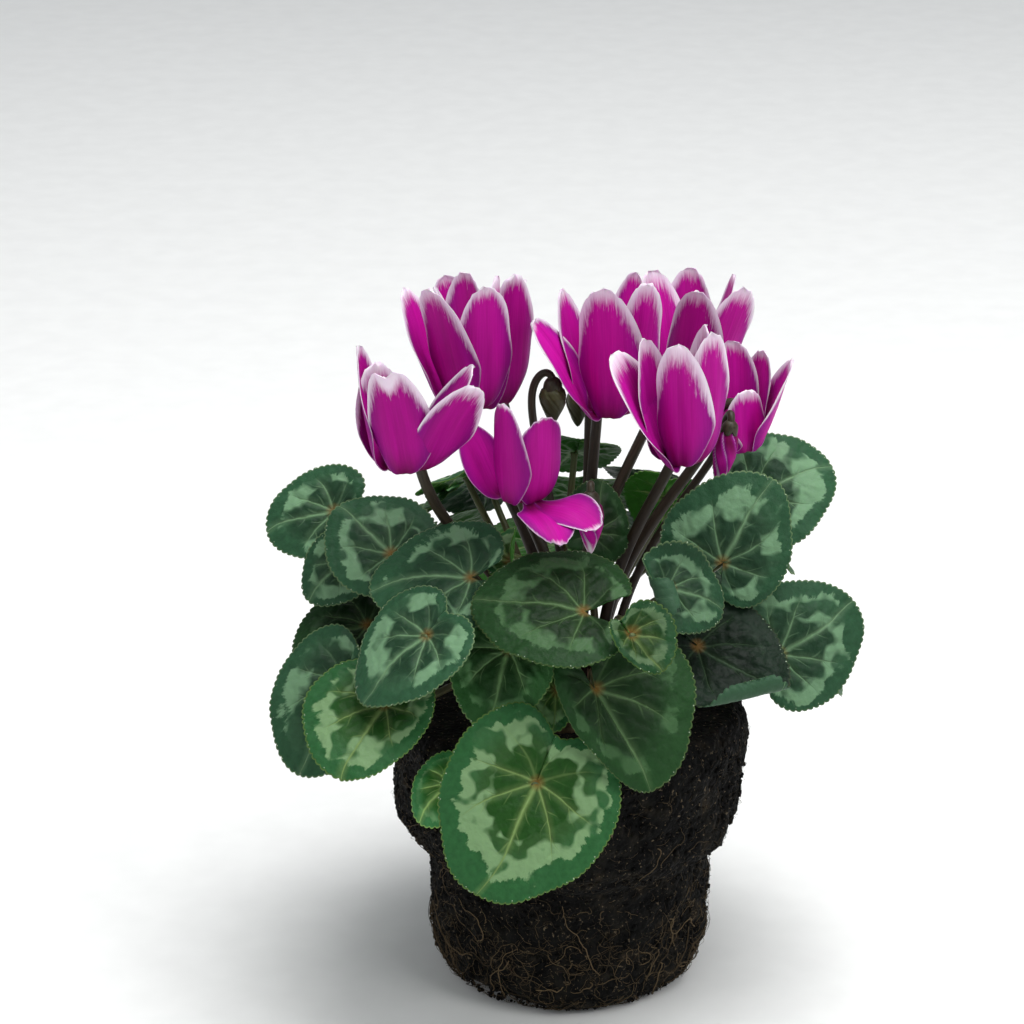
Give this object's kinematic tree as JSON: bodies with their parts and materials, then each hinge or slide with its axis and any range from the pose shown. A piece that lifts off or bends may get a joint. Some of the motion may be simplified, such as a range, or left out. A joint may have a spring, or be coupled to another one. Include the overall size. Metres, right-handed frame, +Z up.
{
  "type": "cyclamen plant with root ball",
  "caption": "Flowering cyclamen plant with marbled heart-shaped leaves, swept-back magenta blooms and a bare pot-shaped root ball that stands on its flat foot.",
  "frame": {"origin": "middle of the root ball's flat foot", "axes": "+Z up through the plant, -Y towards the side the picture shows, +X to that view's right"},
  "size_m": [0.1868, 0.187, 0.2433],
  "materials": {
    "peat": "dark damp peat with fine roots, matt",
    "corm": "brown corky tuber skin, matt",
    "leaf_young": "fresh yellow-green leaf with a satin skin",
    "leaf_mid": "mid-green marbled leaf with a satin skin",
    "leaf_old": "grey-green marbled leaf with a satin skin",
    "petal": "magenta petal, soft and silky",
    "stalk": "brown-purple fleshy stalk, satin",
    "bud": "brown-green bud, satin"
  },
  "bodies": {
    "root": {"root_ball": "peat", "corm": "corm", "leaf_front_low": "leaf_young", "leaf_bud_left_low": "leaf_young", "leaf_left_low": "leaf_young", "leaf_small_right": "leaf_young", "leaf_small_low": "leaf_young", "leaf_young_curl": "leaf_young", "leaf_low_behind": "leaf_young", "leaf_top_west": "leaf_young", "leaf_top_east": "leaf_young", "leaf_left_back_low": "leaf_old", "leaf_left_mid": "leaf_old", "leaf_left_upper": "leaf_old", "leaf_centre": "leaf_old", "leaf_right_rolled": "leaf_old", "leaf_curled_right": "leaf_old", "leaf_upright_right": "leaf_old", "leaf_far_right": "leaf_old", "leaf_marbled_left": "leaf_old", "leaf_under_marbled": "leaf_old", "leaf_grey_left": "leaf_old", "leaf_tucked_right": "leaf_old", "leaf_low_east": "leaf_old", "leaf_low_north": "leaf_old", "leaf_low_west": "leaf_old", "leaf_mid_north_east": "leaf_old", "leaf_mid_north_west": "leaf_old", "leaf_dark_left": "leaf_mid", "leaf_dark_right": "leaf_mid", "leaf_shade_left": "leaf_mid", "leaf_dark_centre": "leaf_mid", "leaf_low_north_east": "leaf_mid", "leaf_low_north_west": "leaf_mid", "leaf_mid_east": "leaf_mid", "leaf_mid_behind": "leaf_mid", "leaf_mid_west": "leaf_mid", "leaf_top_behind": "leaf_mid", "bloom_left_petals": "petal", "bloom_left_stalk": "stalk", "bloom_low_petals": "petal", "bloom_low_stalk": "stalk", "bloom_rear_left_petals": "petal", "bloom_rear_left_stalk": "stalk", "bloom_rear_middle_petals": "petal", "bloom_rear_middle_stalk": "stalk", "bloom_middle_petals": "petal", "bloom_middle_stalk": "stalk", "bloom_right_petals": "petal", "bloom_right_stalk": "stalk", "bloom_far_right_petals": "petal", "bloom_far_right_stalk": "stalk", "bloom_rear_right_petals": "petal", "bloom_rear_right_stalk": "stalk", "bud_hooked": "bud", "bud_beside": "bud", "bud_pink_tipped_petals": "petal", "bud_pink_tipped_stalk": "stalk", "bud_striped_petals": "petal", "bud_striped_stalk": "stalk"}
  },
  "joints": []
}
